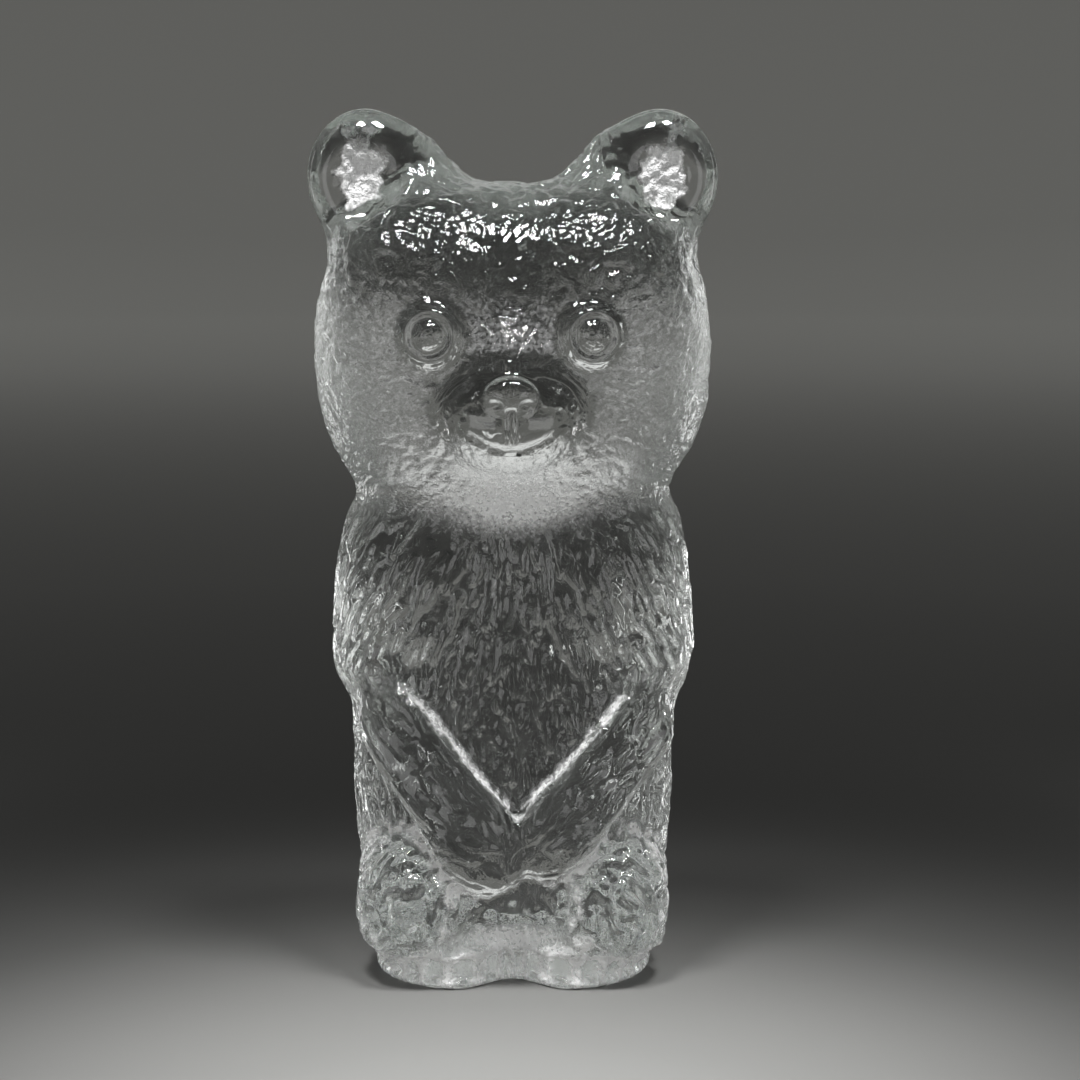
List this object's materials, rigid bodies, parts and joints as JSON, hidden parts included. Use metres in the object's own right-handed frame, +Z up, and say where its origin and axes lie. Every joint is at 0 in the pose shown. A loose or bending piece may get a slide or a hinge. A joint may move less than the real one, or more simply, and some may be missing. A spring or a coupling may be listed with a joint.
{
  "type": "glass bear figurine",
  "caption": "Solid clear pressed-glass bear cub that sits up on a flat base with its paws together, with a fur relief all over.",
  "frame": {"origin": "middle of the bounding box's bottom face, on the surface that the bear stands on", "axes": "+Z up from base to ears, -Y the way the bear faces, +X towards the bear's left"},
  "size_m": [0.057, 0.0448, 0.12],
  "materials": {
    "clear_glass": "clear pressed glass with a fire-polished surface"
  },
  "bodies": {
    "root": {"glass_bear": "clear_glass"}
  },
  "joints": []
}
